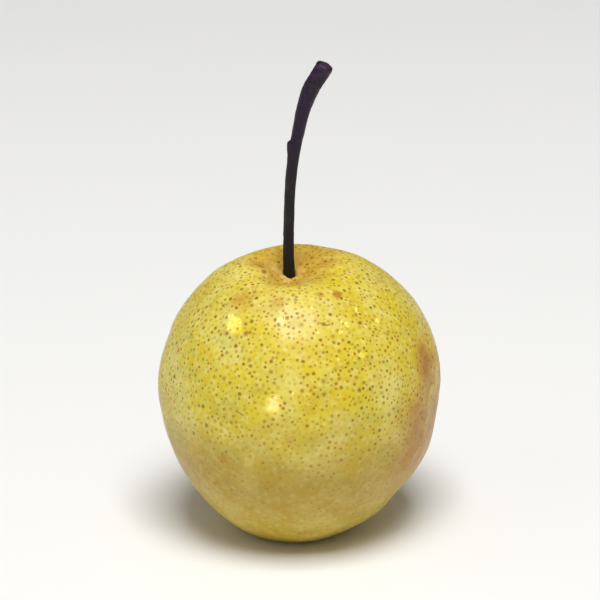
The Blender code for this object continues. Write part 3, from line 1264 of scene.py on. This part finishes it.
@dataclass
class Calyx:
    """What is left of the flower: a corky cup, five withered sepals, and stumps of stamens and styles."""

    cup_radius: float = 3.3
    cup_height: float = 1.9
    sepals: int = 5
    sepal_length: float = 3.9
    sepal_width: float = 1.15
    first_sepal: float = math.radians(22)
    stamens: int = 16
    styles: int = 3
    columns: int = 14
    cup_columns: int = 72
    seed: int = 5

    # The cup's profile, from its middle over the rim to its middle below: share, radius by the cup's, height.
    profile: tuple[Row, ...] = (
        (0.0, 0.12, 1.9),
        (0.25, 0.75, 1.7),
        (0.5, 1.0, 0.9),
        (0.62, 0.97, 0.15),
        (0.8, 0.72, 0.35),
        (1.0, 0.1, 0.9),
    )

    def limb(self, path: np.ndarray, width: np.ndarray, depth: np.ndarray, fore: np.ndarray) -> Surface:
        """A limb of oval section along a path, in mm: half its width across and half its depth along fore.

        Args:
            path: its middle line.
            width: half its width at each place.
            depth: half its depth.
            fore: the direction of its depth.

        Returns:
            The limb.
        """
        around = all_round(self.columns)
        outline = np.stack([width[:, None] * np.cos(around), depth[:, None] * np.sin(around)], axis=-1)
        return sweep(path, outline, fore)

    def cup(self, rng: np.random.Generator) -> Surface:
        """The corky cup: a turned profile with a raised rim, pitted by ripples.

        Args:
            rng: the source of its pits.

        Returns:
            The cup.
        """
        around = all_round(self.cup_columns)
        knots = np.array(self.profile)
        radius, height = smooth_through(knots[:, 0], knots[:, 1:], np.linspace(0, 1, 26)).T
        rings = turned(self.cup_radius * radius, height, around)
        rings += 0.10 * ripples(rings, 1.4, rng)[..., None] * np.array([0.5, 0.5, 1.0])
        return closed_rings(rings, rings[0].mean(axis=0), rings[-1].mean(axis=0))

    def sepal(self, turn: float, rng: np.random.Generator) -> Surface:
        """A withered sepal: a thin leaf that hangs from the rim, curls in and ends in a point.

        Args:
            turn: the angle round that it hangs at.
            rng: the source of its curl and sway.

        Returns:
            The sepal.
        """
        share = np.linspace(0, 1, 22)
        out = np.array([math.cos(turn), math.sin(turn), 0.0])
        curl = rng.uniform(0.6, 1.3)
        reach = 2.25 + 0.75 * np.sin(share * math.pi * 0.6) - curl * share**3
        height = 1.0 - self.sepal_length * (share - 0.18 * share**2)
        path = reach[:, None] * out + height[:, None] * np.array([0.0, 0.0, 1.0])
        sway = 0.25 * np.sin(share * 5 + rng.uniform(0, 6)) * share
        path += sway[:, None] * np.array([-out[1], out[0], 0.0])
        waist = 0.85 + 0.25 * np.sin(share * 7 + rng.uniform(0, 6))
        width = self.sepal_width * (1 - share**1.8) * waist + 0.07
        depth = 0.20 - 0.12 * share
        leaf = self.limb(path[::-1], width[::-1], depth[::-1], out)
        leaf.points += 0.05 * ripples(leaf.points, 1.1, rng)[:, None]
        return leaf

    def stalk(
        self, turn: float, reach: float, length: float, thick: float, rng: np.random.Generator
    ) -> Surface:
        """A thin dry stalk that hangs from the cup's floor.

        Args:
            turn: the angle round that it hangs at.
            reach: how far out it starts, in mm.
            length: its length in mm.
            thick: its radius in mm.
            rng: the source of its bend.

        Returns:
            The stalk.
        """
        share = np.linspace(0, 1, 8)
        out = np.array([math.cos(turn), math.sin(turn), 0.0])
        bend = rng.uniform(-0.5, 0.35)
        path = (reach + bend * share**2)[:, None] * out
        path[:, 2] += 0.7 - length * share
        width = np.full(len(share), thick) * (1 + 0.9 * bell(share - 0.93, 0.07))
        return self.limb(path[::-1], width[::-1], width[::-1], np.array([-out[1], out[0], 0.0]))

    def build(self, core: np.ndarray, finish: DriedCalyx) -> bpy.types.Object:
        """Builds the calyx on the core line, with the cup's top where its solid has its own.

        Args:
            core: the core line's place.
            finish: its dry leaf and cork.

        Returns:
            The piece.
        """
        rng = np.random.default_rng(self.seed)
        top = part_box("calyx")[1][2]
        pieces = [self.cup(rng)]
        for number in range(self.sepals):
            pieces.append(self.sepal(self.first_sepal + math.tau * number / self.sepals, rng))
        for number in range(self.stamens):
            turn = math.tau * (number + rng.uniform(-0.3, 0.3)) / self.stamens
            pieces.append(self.stalk(turn, rng.uniform(1.2, 1.8), rng.uniform(1.4, 2.6), 0.10, rng))
        for number in range(self.styles):
            pieces.append(self.stalk(math.tau * number / self.styles, 0.35, rng.uniform(1.6, 2.2), 0.14, rng))
        surface = joined(pieces)
        surface.points = surface.points * MM
        surface.points += np.array([core[0], core[1], top - self.cup_height * MM])
        piece = new_piece(surface.mesh("calyx_remnant"), finish.material())
        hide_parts("calyx")
        return piece


# ---------------------------------------------------------------- water


@dataclass
class WaterDrops:
    """Beads of water on the skin, each a low dome that sits in the skin's own plane."""

    # Each large one's azimuth and elevation from the girth's middle, radius in mm and height by its radius.
    large: tuple[Row, ...] = (
        (259.5, 13.6, 2.2, 0.68),
        (234.0, 42.0, 2.1, 0.30),
        (229.0, 45.0, 0.8, 0.42),
        (260.0, 46.8, 1.2, 0.35),
        (300.0, 30.0, 0.9, 0.45),
        (318.0, 41.0, 0.75, 0.5),
        (205.0, 8.0, 0.95, 0.45),
        (287.0, -12.0, 0.8, 0.45),
        (120.0, 28.0, 1.6, 0.45),
        (60.0, 40.0, 1.1, 0.45),
        (20.0, 10.0, 1.3, 0.48),
    )
    small: int = 64
    cluster: tuple[float, float] = (309.0, 44.0)
    seed: int = 19

    def dome(self, columns: int, rings: int) -> Surface:
        """A bead of radius 1 and height 1 on a shallow foot that sinks into the skin.

        Args:
            columns: how many points go round it.
            rings: how many rings it has above the skin.

        Returns:
            The bead.
        """
        lift = np.linspace(math.pi / 2, 0, rings + 1)[1:]
        around = all_round(columns)
        foot, sunk = 0.93, 0.35
        radius, height = np.append(np.cos(lift), foot), np.append(np.sin(lift), -sunk)
        top, middle_below = np.array([0.0, 0.0, 1.0]), np.array([0.0, 0.0, -sunk])
        return closed_rings(turned(radius, height, around), top, middle_below)

    def placed(
        self,
        dome: Surface,
        fruit: Fruit,
        aims: np.ndarray,
        radii: np.ndarray,
        heights: np.ndarray,
        rng: np.random.Generator,
    ) -> Surface:
        """Copies a dome to each place on the skin, turned square to it and a little out of round.

        Args:
            dome: the bead to copy.
            fruit: whose skin they sit on.
            aims: a direction for each one.
            radii: each one's radius in mm.
            heights: each one's height as a share of its radius.
            rng: the source of their unevenness.

        Returns:
            All of them as one surface.
        """
        places, normals = fruit.surface_at(aims)
        side = unit(np.cross(normals, np.array([0.0, 0.0, 1.0])))
        ahead = np.cross(normals, side)
        turn = rng.uniform(0, math.tau, len(radii))[:, None]
        cosine, sine = np.cos(turn), np.sin(turn)
        side, ahead = cosine * side + sine * ahead, cosine * ahead - sine * side
        wide = radii * rng.uniform(0.92, 1.12, len(radii))
        sizes = MM * np.stack([wide, radii, radii * heights], axis=1)
        axes = np.stack([side, ahead, normals], axis=1) * sizes[..., None]
        points = np.einsum("pk,nkx->npx", dome.points, axes) + places[:, None]
        return joined([Surface(each, dome.faces) for each in points])

    def build(self, fruit: Fruit, finish: ClearWater) -> bpy.types.Object:
        """Builds all the drops as one piece.

        Args:
            fruit: whose skin they sit on.
            finish: its water.

        Returns:
            The piece.
        """
        rng = np.random.default_rng(self.seed)
        large = np.array(self.large)
        aims = np.array([facing(azimuth, elevation) for azimuth, elevation in large[:, :2]])
        big = self.placed(self.dome(40, 12), fruit, aims, large[:, 2], large[:, 3], rng)
        half = self.small // 2
        near = facing(*self.cluster) + rng.normal(scale=0.20, size=(half, 3))
        spread = unit(rng.normal(size=(self.small - half, 3)) + np.array([0.0, -0.3, 0.5]))
        aims = unit(np.concatenate([near, spread]))
        aims = aims[(aims[:, 2] > -0.55) & (aims[:, 2] < 0.9)]
        radii = np.clip(rng.lognormal(math.log(0.34), 0.38, len(aims)), 0.18, 0.8)
        tiny = self.placed(self.dome(14, 4), fruit, aims, radii, rng.uniform(0.4, 0.6, len(aims)), rng)
        return new_piece(joined([big, tiny]).mesh("water_drops"), finish.material())


# ---------------------------------------------------------------- the studio


@dataclass
class Studio:
    """A white paper floor, soft lamps and the camera."""

    view_elevation: float = 20.0
    distance: float = 0.90
    frame_width: float = 0.153
    sensor: float = 36.0
    aim: tuple[float, float, float] = (0.0, 0.0, 0.0615)
    floor_rings: tuple[float, ...] = (0.15, 0.5, 1.5, 5.0, 12.0)
    surround: str = "#fbfbfa"
    surround_strength: float = 0.22

    # Its square lamps: name, azimuth and elevation in degrees, distance and side in metres, and watts.
    lamps: tuple[tuple[str, float, float, float, float, float], ...] = (
        ("softbox", 276, 70, 2.0, 1.0, 41.0),
        ("left_fill", 205, 28, 1.2, 0.8, 0.9),
    )

    def floor(self) -> None:
        """The floor, a disc that reaches past every view's edge."""
        columns, reaches = 64, np.array(self.floor_rings)
        rings = turned(reaches, 0 * reaches, all_round(columns))
        here, quads = ring_quads(len(reaches), columns)
        mesh = bpy.data.meshes.new("floor")
        mesh.from_pydata(rings.reshape(-1, 3).tolist(), [], [here[0].tolist(), *quads.tolist()])
        mesh.materials.append(StudioPaper().material())
        floor = bpy.data.objects.new("floor", mesh)
        bpy.context.scene.collection.objects.link(floor)

    def light(self) -> None:
        """A large softbox overhead and a little in front, a weak fill from the left, and a pale surround."""
        for name, azimuth, elevation, distance, side, power in self.lamps:
            light = bpy.data.lights.new(name, "AREA")
            light.shape, light.size, light.energy = "SQUARE", side, power
            lamp = bpy.data.objects.new(name, light)
            towards = Vector(facing(azimuth, elevation))
            lamp.location = Vector(self.aim) + towards * distance
            lamp.rotation_euler = towards.to_track_quat("Z", "Y").to_euler()
            bpy.context.scene.collection.objects.link(lamp)
        world = bpy.data.worlds.new("surround")
        world.use_nodes = True
        background = world.node_tree.nodes["Background"]
        background.inputs["Color"].default_value = linear(self.surround)
        background.inputs["Strength"].default_value = self.surround_strength
        bpy.context.scene.world = world
        bpy.context.scene.view_settings.view_transform = "Standard"

    def camera(self) -> None:
        """The camera, level across, looking down on the pear from the front."""
        data = bpy.data.cameras.new("camera")
        data.sensor_width = self.sensor
        data.lens = self.sensor * self.distance / self.frame_width
        camera = bpy.data.objects.new("camera", data)
        back = Vector(facing(270, self.view_elevation))
        camera.location = Vector(self.aim) + back * self.distance
        camera.rotation_euler = back.to_track_quat("Z", "Y").to_euler()
        bpy.context.scene.collection.objects.link(camera)
        bpy.context.scene.camera = camera


def main() -> None:
    """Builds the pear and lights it."""
    logging.basicConfig(level=logging.INFO, format="%(name)s: %(message)s")
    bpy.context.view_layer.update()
    studio = Studio()
    studio.camera()
    studio.floor()
    studio.light()

    fruit = Fruit()
    fruit.settle()
    fruit.build(PearSkin())
    core = np.array(fruit.shift)
    floor_height = fruit.crown_rise - fruit.cavity_depth
    Stem().build(core + np.array([0.0, 0.0, floor_height]), StemBark())
    Calyx().build(core, DriedCalyx())
    WaterDrops().build(fruit, ClearWater())


if __name__ == "__main__":
    main()
